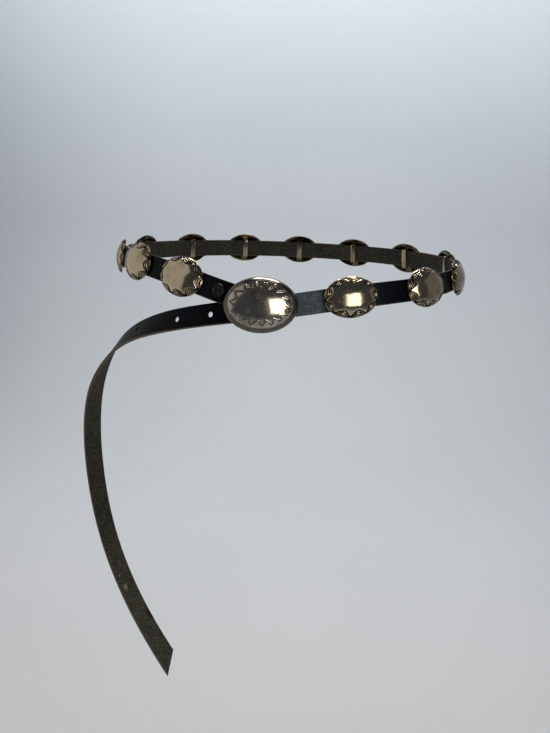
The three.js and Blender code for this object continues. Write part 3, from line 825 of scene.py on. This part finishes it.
# %% Press stud
STUD_RISE = 1.6
STUD_FLANGE = 0.9
STUD_SECTION = (
    {"out": 4.8, "up": 0.0}, {"out": 4.8, "up": 0.45}, {"out": 4.7, "up": 0.9}, {"out": 4.45, "up": 1.3},
    {"out": 4.1, "up": 1.55}, {"out": 3.7, "up": 1.6}, {"out": 3.3, "up": 1.45}, {"out": 3.05, "up": 1.1},
    {"out": 2.9, "up": 0.95}, {"out": 2.6, "up": 0.92}, {"out": 2.2, "up": 0.95}, {"out": 1.8, "up": 1.0},
    {"out": 1.4, "up": 1.02}, {"out": 1.0, "up": 1.05}, {"out": 0.6, "up": 1.15}, {"out": 0.3, "up": 1.2},
    {"out": 0.0, "up": 1.2},
)
STUD_STEPS = 96
PETALS = 8
PETAL_LIFT = 0.25
ROSETTE = {"above": 0.8, "inner": 0.5, "outer": 2.8}


def make_stud(node):
    """The press stud, turned round its own axis and placed on the strap."""
    copy = working_copy(node)
    out = flattest_facing(copy)
    middle = sum((vert.co for vert in copy.verts), Vector()) / len(copy.verts)
    if out.dot(middle * Vector((1, 1, 0))) < 0:
        out.negate()
    heights = [(vert.co - middle).dot(out) for vert in copy.verts]
    flange_top = min(heights) + STUD_FLANGE * MM
    flange = [vert for vert, height in zip(copy.verts, heights) if height < flange_top]
    centre = sum((vert.co for vert in flange), Vector()) / len(flange)
    top = max((vert.co - centre).dot(out) for vert in copy.verts)
    bottom = min((vert.co - centre).dot(out) for vert in copy.verts)
    copy.free()
    base = top - STUD_RISE * MM
    across = (UP - out * UP.dot(out)).normalized()
    axes = Matrix((out.cross(across), out, across)).transposed().to_4x4()
    axes = Matrix.Translation(centre + out * base) @ axes
    foot = (bottom - base) / MM
    section = [(0, foot), (3.8, foot), (4.0, foot + 0.2), (4.0, foot + 0.7), (3.8, foot + 0.8)]
    section += [(1.5, foot + 0.8), (1.5, 0.0)]
    section += [(row["out"], row["up"]) for row in STUD_SECTION]
    shape = bmesh.new()
    verts = [shape.verts.new((radius * MM, height * MM, 0)) for radius, height in section]
    edges = [shape.edges.new(pair) for pair in zip(verts, verts[1:])]
    bmesh.ops.spin(
        shape, geom=verts + edges, cent=(0, 0, 0), axis=(0, 1, 0), dvec=(0, 0, 0),
        angle=math.tau, steps=STUD_STEPS, use_merge=True, use_duplicate=False,
    )
    bmesh.ops.remove_doubles(shape, verts=shape.verts, dist=WELD)
    bmesh.ops.recalc_face_normals(shape, faces=shape.faces)
    for vert in shape.verts:
        radius = math.hypot(vert.co.x, vert.co.z) / MM
        if vert.co.y > ROSETTE["above"] * MM and ROSETTE["inner"] < radius < ROSETTE["outer"]:
            petal = math.cos(PETALS * math.atan2(vert.co.z, vert.co.x))
            share = (radius - ROSETTE["inner"]) / (ROSETTE["outer"] - ROSETTE["inner"])
            vert.co.y += PETAL_LIFT * MM * petal * math.sin(math.pi * share)
    bmesh.ops.transform(shape, matrix=axes, verts=shape.verts)
    return hand_over("snap_cap", shape, [stud_metal], node)


make_stud("snap")
print("the press stud has", PETALS, "petals")

# %% [markdown]
# The strap was cut flat, punched, eased along its edges and only then bent round the waist,
# and it is made in that order here. First the course is read from the frame: four long corner
# lines run from the folded end to the tip, and a smooth curve through their points gives the
# place of any point of the flat strap.

# %% Course of the strap
SHARP = math.radians(38)


def corner_lines(shape):
    """The strap's four long corners, each a list of points from its folded end to its tip."""
    sharp = {edge for edge in shape.edges if edge.is_manifold and edge.calc_face_angle() > SHARP}
    tips = [vert for vert in shape.verts if sum(edge in sharp for edge in vert.link_edges) == 3]
    upper = sorted(tips, key=lambda vert: vert.co.z)[-4:]
    lines = []
    for vert in upper:
        edge = next(e for e in vert.link_edges if e in sharp and e.other_vert(vert) not in tips)
        line = [vert.co.copy()]
        while True:
            vert = edge.other_vert(vert)
            line.append(vert.co.copy())
            if vert in tips:
                break
            edge = next(e for e in vert.link_edges if e in sharp and e != edge)
        lines.append(line)
    middle = len(lines[0]) // 2
    high_pair = sorted(lines, key=lambda line: line[middle].z)[2:]
    low_pair = [line for line in lines if line not in high_pair]

    def spread(line):
        return math.hypot(line[middle].x, line[middle].y)

    return {
        "grain_high": max(high_pair, key=spread), "flesh_high": min(high_pair, key=spread),
        "grain_low": max(low_pair, key=spread), "flesh_low": min(low_pair, key=spread),
    }


corners = corner_lines(strap_copy)
print("stations on the corner lines:", [len(line) for line in corners.values()])

# %% [markdown]
# Between two stations each corner line is bent like a drawn spline: its direction at a
# station is the average of the directions before and after, weighted by their lengths. The
# strap's length is measured along its middle.

# %% Smooth course
stations = list(zip(*corners.values()))
middles = [sum(station, Vector()) / len(station) for station in stations]
station_places = [0.0]
for before, after in zip(middles, middles[1:]):
    station_places.append(station_places[-1] + (after - before).length)
STRAP_LENGTH = station_places[-1]


def directions(line):
    """Direction of a corner line at each station, per metre of the strap's middle."""
    slopes = [
        (b - a) / (end - start)
        for a, b, start, end in zip(line, line[1:], station_places, station_places[1:])
    ]
    found = [slopes[0]]
    for i in range(1, len(line) - 1):
        before = station_places[i] - station_places[i - 1]
        after = station_places[i + 1] - station_places[i]
        found.append((slopes[i - 1] * after + slopes[i] * before) / (before + after))
    return found + [slopes[-1]]


course = {name: (line, directions(line)) for name, line in corners.items()}


def section_at(distance):
    """The four corners of the strap at a distance from its folded end."""
    i = min(max(bisect.bisect_right(station_places, distance) - 1, 0), len(station_places) - 2)
    span = station_places[i + 1] - station_places[i]
    t = (distance - station_places[i]) / span
    found = {}
    for name, (line, slopes) in course.items():
        share = t * t * (3 - 2 * t)
        swing = slopes[i] * (t * (1 - t) ** 2) - slopes[i + 1] * (t * t * (1 - t))
        found[name] = line[i].lerp(line[i + 1], share) + swing * span
    return found


print("the strap is", round(STRAP_LENGTH / MM), "mm long")

# %% [markdown]
# The holes are found on the frame too. Their sharp round edges are the only ones that don't
# belong to a corner line.

# %% Places of the holes
STRAP_WIDTH = 16.0
STRAP_THICKNESS = 2.0
HOLE_RADIUS = 2.0
SAMPLES = 2400

samples = [i * STRAP_LENGTH / SAMPLES for i in range(SAMPLES + 1)]
centres = [sum(section_at(place).values(), Vector()) / 4 for place in samples]


def place_along(point):
    """Distance along the strap, from its folded end, of the section nearest to a point."""
    nearest = min(range(len(samples)), key=lambda i: (centres[i] - point).length)
    return samples[nearest]


def hole_places(shape):
    """Distance along the strap of each punched hole."""
    on_corners = {tuple(point) for line in corners.values() for point in line}
    loose = set()
    for edge in shape.edges:
        if edge.is_manifold and edge.calc_face_angle() > SHARP:
            if not any(tuple(vert.co) in on_corners for vert in edge.verts):
                loose.update(edge.verts)
    found = []
    while loose:
        ring, queue = [], [loose.pop()]
        while queue:
            vert = queue.pop()
            ring.append(vert.co.copy())
            for edge in vert.link_edges:
                other = edge.other_vert(vert)
                if other in loose:
                    loose.remove(other)
                    queue.append(other)
        found.append(place_along(sum(ring, Vector()) / len(ring)))
    return sorted(found)


holes = hole_places(strap_copy)
print("holes at", [round(place / MM, 1) for place in holes], "mm")
strap_copy.free()

# %% [markdown]
# The flat strap is a grid of small squares. A hole is a patch of squares taken out and bridged
# to a circle, the thickness comes from one solidify, which makes the walls of the holes as
# well, and a bevel eases every cut edge as the maker's edge tool does.

# %% Flat strap
ROWS_EVERY = 1.3
COLUMNS = 12
PATCH_HALF = 2.7
EDGE_EASE = 0.4


def punch(shape, place, radius):
    """Takes a patch out of the flat grid and bridges its border to a round hole."""
    half = PATCH_HALF * MM
    patch = []
    for face in shape.faces:
        middle = face.calc_center_median()
        if abs(middle.x - place) < half and abs(middle.z) < half:
            patch.append(face)
    bmesh.ops.delete(shape, geom=patch, context="FACES")
    inside = {v for v in shape.verts if abs(v.co.x - place) < 2 * half and abs(v.co.z) < 2 * half}
    rim = [edge for edge in shape.edges if edge.is_boundary and inside.issuperset(edge.verts)]
    turn = Matrix.Translation((place, 0, 0)) @ Matrix.Rotation(math.pi / 2, 4, "X")
    ring = bmesh.ops.create_circle(
        shape, cap_ends=False, segments=len(rim), radius=radius * MM, matrix=turn,
    )["verts"]
    circle = list({edge for vert in ring for edge in vert.link_edges})
    bmesh.ops.bridge_loops(shape, edges=rim + circle)


def flat_strap():
    """The strap laid flat: along X, its grain side up in Y, its width in Z."""
    shape = bmesh.new()
    rows = round(STRAP_LENGTH / MM / ROWS_EVERY)
    turn = Matrix.Rotation(math.pi / 2, 4, "X")
    bmesh.ops.create_grid(shape, x_segments=rows, y_segments=COLUMNS, size=0.5, matrix=turn)
    bmesh.ops.translate(shape, vec=(0.5, 0, 0), verts=shape.verts)
    bmesh.ops.scale(shape, vec=(STRAP_LENGTH, 1, STRAP_WIDTH * MM), verts=shape.verts)
    for place in holes:
        punch(shape, place, HOLE_RADIUS)
    bmesh.ops.recalc_face_normals(shape, faces=shape.faces)
    bmesh.ops.solidify(shape, geom=shape.faces[:], thickness=STRAP_THICKNESS * MM)
    bmesh.ops.recalc_face_normals(shape, faces=shape.faces)
    middle = (max(v.co.y for v in shape.verts) + min(v.co.y for v in shape.verts)) / 2
    bmesh.ops.translate(shape, vec=(0, -middle, 0), verts=shape.verts)
    return shape


flat = flat_strap()
print("flat strap:", len(flat.faces), "faces,", round(flat.calc_volume() / MM ** 3), "cubic mm")

# %% [markdown]
# Where leather is cut, its edge is eased, so a bevel runs along both edges, round the tip and
# round each hole. Each face then gets its side: the smooth grain, the fibrous flesh or the cut
# edge. Two attributes keep where a point lay on the flat strap, in metres, for patterns that
# follow it.

# %% Eased edges and sides
GRAIN, FLESH, EDGE = 0, 1, 2
SIDE_FACING = 0.9


def ease_and_mark(shape):
    """Eases the cut edges, sorts the faces by side and keeps the flat places of the points."""
    shape.normal_update()
    sharp = [edge for edge in shape.edges if edge.is_manifold and edge.calc_face_angle() > SHARP]
    bmesh.ops.bevel(
        shape, geom=sharp, offset=EDGE_EASE * MM, offset_type="OFFSET", segments=3, profile=0.5,
        affect="EDGES", material=-1,
    )
    shape.normal_update()
    for face in shape.faces:
        if face.normal.y > SIDE_FACING:
            face.material_index = GRAIN
        elif face.normal.y < -SIDE_FACING:
            face.material_index = FLESH
        else:
            face.material_index = EDGE
    along = shape.verts.layers.float.new("along")
    across = shape.verts.layers.float.new("across")
    for vert in shape.verts:
        vert[along] = vert.co.x
        vert[across] = vert.co.z


ease_and_mark(flat)
counts = [sum(face.material_index == side for face in flat.faces) for side in (GRAIN, FLESH, EDGE)]
print("faces of grain, flesh and edge:", counts)

# %% [markdown]
# Bending is a move of every point: its distance along the flat strap picks a section of the
# course, and its height and width pick a place between that section's four corners.

# %% Bend round the waist


def bend(shape):
    """Moves the points of the flat strap to their places on the course."""
    sections = {}
    for vert in shape.verts:
        key = round(vert.co.x / WELD)
        if key not in sections:
            sections[key] = section_at(vert.co.x)
        section = sections[key]
        up = 0.5 + vert.co.z / (STRAP_WIDTH * MM)
        out = 0.5 + vert.co.y / (STRAP_THICKNESS * MM)
        grain = section["grain_low"].lerp(section["grain_high"], up)
        flesh = section["flesh_low"].lerp(section["flesh_high"], up)
        vert.co = flesh.lerp(grain, out)
    return len(sections)


print("bent", len(flat.verts), "points through", bend(flat), "sections")
flat.normal_update()

# %% [markdown]
# Wear on leather follows the strap and not the room, so its masks read the two attributes that
# keep the flat places. A mark is a small ellipse at a distance from the folded end and from
# the middle line. The lower cut edge lost its dye, most of all along the free tail.

# %% Wear along the strap
TAIL_FROM = 0.830
TAIL_FULL = 0.840
LOWER_EDGE = -STRAP_WIDTH / 2 * MM
MARK_CORE, MARK_EDGE = 0.75, 1.15


def flat_place(tree):
    """The point's place on the flat strap: its distance along, and across from the middle."""
    along = add(tree, "Attribute", attribute_name="along").outputs["Fac"]
    across = add(tree, "Attribute", attribute_name="across").outputs["Fac"]
    return along, across


def mark_share(tree, along, across, mark):
    """Share of a small mark, an ellipse of half sizes in mm, at each point of the strap."""
    point = add(tree, "CombineXYZ", {"X": along, "Y": across})
    centre = (mark["along"] * MM, mark["across"] * MM, 0)
    offset = add(tree, "VectorMath", {0: point, 1: centre}, operation="SUBTRACT")
    scale = (per_metre(mark["long"]), per_metre(mark["wide"]), 0)
    scaled = add(tree, "VectorMath", {0: offset, 1: scale}, operation="MULTIPLY")
    away = add(tree, "VectorMath", {0: scaled}, operation="LENGTH")
    return add(
        tree, "MapRange",
        {
            "Value": away, "From Min": MARK_CORE, "From Max": MARK_EDGE,
            "To Min": mark["share"], "To Max": 0.0,
        },
        interpolation_type="SMOOTHSTEP",
    )


print("the free tail starts", round(TAIL_FROM / MM), "mm from the folded end")

# %% [markdown]
# The strap is vegetable-tanned cowhide, dyed black and finished on the grain side. The dye leaves a cold,
# nearly blue black, and the fine pebbling of the grain breaks every reflection into specks, which is what
# tells leather from plastic. Beside the buckle a speckled slate-blue sheen, the window's reflection on the
# grain, is painted into its colour, and along the lower edge the fibres show grey-brown. The four places of
# the painted sheen are distances along the strap, in metres, as its attribute has them.

# %% Finish: black grain leather
GRAIN_PEBBLE = 0.55
GRAIN_CREASE = 1.6
GRAIN_FLECK = 0.8
GRAIN_FRAYS = 1.6
# Where the painted sheen beside the buckle starts, is full, fades and ends, along the strap.
PAINTED_SHEEN_STARTS, PAINTED_SHEEN_FULL, PAINTED_SHEEN_FADES, PAINTED_SHEEN_ENDS = 0.783, 0.790, 0.812, 0.825

grain_leather, tree, shader = new_finish("vegetable_tanned_grain")
along, across = flat_place(tree)
place = add(tree, "TexCoord").outputs["Object"]
pebbles = add(tree, "TexVoronoi", {"Vector": place, "Scale": per_metre(GRAIN_PEBBLE)}, feature="F1")
creases = add(
    tree, "TexNoise", {"Vector": place, "Scale": per_metre(GRAIN_CREASE), "Detail": 4.0, "Roughness": 0.6},
)
flecks = add(
    tree, "TexNoise", {"Vector": place, "Scale": per_metre(GRAIN_FLECK), "Detail": 3.0, "Roughness": 0.7},
)
wear = add(
    tree, "MapRange", {"Value": creases, "From Min": 0.4, "From Max": 0.75},
    interpolation_type="SMOOTHSTEP",
)
dyed = add(
    tree, "Mix", {0: wear, MIX_A: linear("#030405"), MIX_B: linear("#090c11")}, data_type="RGBA",
)
specks = add(
    tree, "MapRange", {"Value": flecks, "From Min": 0.42, "From Max": 0.62},
    interpolation_type="SMOOTHSTEP",
)
# The slate-blue specks beside the buckle are a painted sheen: the window's reflection on the grain, put
# into its colour.
slate = add(
    tree, "Mix", {0: specks, MIX_A: linear("#414a53"), MIX_B: linear("#717a83")}, data_type="RGBA",
)
painted_sheen_on = add(
    tree, "MapRange", {"Value": along, "From Min": PAINTED_SHEEN_STARTS, "From Max": PAINTED_SHEEN_FULL},
    interpolation_type="SMOOTHSTEP",
)
painted_sheen_off = add(
    tree, "MapRange",
    {"Value": along, "From Min": PAINTED_SHEEN_FADES, "From Max": PAINTED_SHEEN_ENDS, "To Min": 1.0, "To Max": 0.0},
    interpolation_type="SMOOTHSTEP",
)
rub_and_painted_sheen = add(tree, "Math", {0: painted_sheen_on, 1: painted_sheen_off}, operation="MULTIPLY")
grain_with_painted_sheen = add(tree, "Mix", {0: rub_and_painted_sheen, MIX_A: dyed, MIX_B: slate}, data_type="RGBA")
ragged = add(tree, "Math", {0: creases, 1: GRAIN_FRAYS * MM, 2: across}, operation="MULTIPLY_ADD")
bare_edge = add(
    tree, "MapRange",
    {
        "Value": ragged, "From Min": LOWER_EDGE + 1.0 * MM, "From Max": LOWER_EDGE + 1.7 * MM,
        "To Min": 1.0, "To Max": 0.0,
    },
    interpolation_type="SMOOTHSTEP",
)
on_tail = add(
    tree, "MapRange", {"Value": along, "From Min": TAIL_FROM, "From Max": TAIL_FULL, "To Min": 0.35},
    interpolation_type="SMOOTHSTEP",
)
fibres_show = add(tree, "Math", {0: bare_edge, 1: on_tail}, operation="MULTIPLY")
tint = add(
    tree, "Mix", {0: fibres_show, MIX_A: grain_with_painted_sheen, MIX_B: linear("#7b7264")}, data_type="RGBA",
)
tree.links.new(tint.outputs[MIX_RESULT], shader.inputs["Base Color"])
rough = add(tree, "MapRange", {"Value": creases, "To Min": 0.42, "To Max": 0.26})
tree.links.new(rough.outputs["Result"], shader.inputs["Roughness"])
height = add(tree, "Math", {0: creases, 1: 0.8, 2: pebbles}, operation="MULTIPLY_ADD")
bumps = add(tree, "Bump", {"Height": height, "Strength": 0.55, "Distance": 0.12 * MM})
tree.links.new(bumps.outputs["Normal"], shader.inputs["Normal"])
shader.inputs["Specular IOR Level"].default_value = 0.12
shader.inputs["Specular Tint"].default_value = linear("#c4dcff")
print("finish", grain_leather.name)

# %% [markdown]
# The flesh side was never finished. It is a suede of loose fibres that took the dye unevenly,
# so it is matt and mottled, from olive black to a dusty brown, with paler fibres on top. Near
# the tip it has two pale scratches, a pale dot and, at its upper edge, a black half-moon.

# %% Finish: flesh side
FLESH_MARKS = (
    {"along": 1228.0, "across": -3.4, "long": 2.6, "wide": 0.4, "share": 0.9, "tint": "#a59c88"},
    {"along": 1227.4, "across": -1.6, "long": 2.6, "wide": 0.4, "share": 0.85, "tint": "#a59c88"},
    {"along": 1216.1, "across": -3.4, "long": 0.7, "wide": 0.6, "share": 0.7, "tint": "#a59c88"},
    {"along": 1259.0, "across": 8.2, "long": 6.4, "wide": 4.4, "share": 0.95, "tint": "#080808"},
)
FLESH_CLOUDS = 14.0
FLESH_FIBRE = 1.5
FLESH_FRAYS = 1.4

flesh_side, tree, shader = new_finish("suede_flesh_side")
along, across = flat_place(tree)
place = add(tree, "TexCoord").outputs["Object"]
clouds = add(
    tree, "TexNoise",
    {"Vector": place, "Scale": per_metre(FLESH_CLOUDS), "Detail": 4.0, "Roughness": 0.55},
)
fibres = add(
    tree, "TexNoise", {"Vector": place, "Scale": per_metre(FLESH_FIBRE), "Detail": 5.0, "Roughness": 0.7},
)
cloudy = add(
    tree, "MapRange", {"Value": clouds, "From Min": 0.35, "From Max": 0.68},
    interpolation_type="SMOOTHSTEP",
)
dyed = add(
    tree, "Mix", {0: cloudy, MIX_A: linear("#1e1f1c"), MIX_B: linear("#2b2a24")}, data_type="RGBA",
)
fuzz = add(
    tree, "MapRange", {"Value": fibres, "From Min": 0.46, "From Max": 0.68},
    interpolation_type="SMOOTHSTEP",
)
pale = add(tree, "Mix", {0: fuzz, MIX_A: dyed, MIX_B: linear("#4e4d43")}, data_type="RGBA")
ragged = add(tree, "Math", {0: fibres, 1: FLESH_FRAYS * MM, 2: across}, operation="MULTIPLY_ADD")
bare_edge = add(
    tree, "MapRange",
    {
        "Value": ragged, "From Min": LOWER_EDGE + 0.8 * MM, "From Max": LOWER_EDGE + 1.7 * MM,
        "To Min": 0.7, "To Max": 0.0,
    },
    interpolation_type="SMOOTHSTEP",
)
tint = add(tree, "Mix", {0: bare_edge, MIX_A: pale, MIX_B: linear("#746b5a")}, data_type="RGBA")
for mark in FLESH_MARKS:
    share = mark_share(tree, along, across, mark)
    tint = add(tree, "Mix", {0: share, MIX_A: tint, MIX_B: linear(mark["tint"])}, data_type="RGBA")
tree.links.new(tint.outputs[MIX_RESULT], shader.inputs["Base Color"])
shader.inputs["Roughness"].default_value = 0.95
bumps = add(tree, "Bump", {"Height": fibres, "Strength": 0.6, "Distance": 0.25 * MM})
tree.links.new(bumps.outputs["Normal"], shader.inputs["Normal"])
print("finish", flesh_side.name)

# %% [markdown]
# The cut edge shows the section of the hide: dyed fibres pressed flat by the edge tool. The
# lower edge of the tail has rubbed down to the undyed, tan fibres, and the rest stayed dark.

# %% Finish: cut edge
STRAND_SIZE = 0.9

cut_edge, tree, shader = new_finish("dyed_cut_edge")
along, across = flat_place(tree)
place = add(tree, "TexCoord").outputs["Object"]
strands = add(
    tree, "TexNoise", {"Vector": place, "Scale": per_metre(STRAND_SIZE), "Detail": 5.0, "Roughness": 0.7},
)
worn = add(
    tree, "MapRange", {"Value": strands, "From Min": 0.45, "From Max": 0.75},
    interpolation_type="SMOOTHSTEP",
)
dark_edge = add(
    tree, "Mix", {0: worn, MIX_A: linear("#131314"), MIX_B: linear("#36332c")}, data_type="RGBA",
)
bare_edge = add(
    tree, "Mix", {0: worn, MIX_A: linear("#4f4a3f"), MIX_B: linear("#8a806c")}, data_type="RGBA",
)
lower = add(
    tree, "MapRange",
    {
        "Value": across, "From Min": LOWER_EDGE, "From Max": 0.5 * LOWER_EDGE,
        "To Min": 1.0, "To Max": 0.0,
    },
    interpolation_type="SMOOTHSTEP",
)
on_tail = add(
    tree, "MapRange", {"Value": along, "From Min": TAIL_FROM, "From Max": TAIL_FULL, "To Min": 0.4},
    interpolation_type="SMOOTHSTEP",
)
bare = add(tree, "Math", {0: lower, 1: on_tail}, operation="MULTIPLY")
tint = add(tree, "Mix", {0: bare, MIX_A: dark_edge, MIX_B: bare_edge}, data_type="RGBA")
tree.links.new(tint.outputs[MIX_RESULT], shader.inputs["Base Color"])
shader.inputs["Roughness"].default_value = 0.75
bumps = add(tree, "Bump", {"Height": strands, "Strength": 0.5, "Distance": 0.2 * MM})
tree.links.new(bumps.outputs["Normal"], shader.inputs["Normal"])
print("finish", cut_edge.name)

# %% [markdown]
# With its three finishes made, the bent strap becomes one piece. The sides that were sorted
# while it lay flat now pick the grain, the flesh and the cut edge.

# %% Strap
strap = hand_over("strap_leather", flat, [grain_leather, flesh_side, cut_edge], "strap")
print("the strap has", len(strap.data.polygons), "faces")
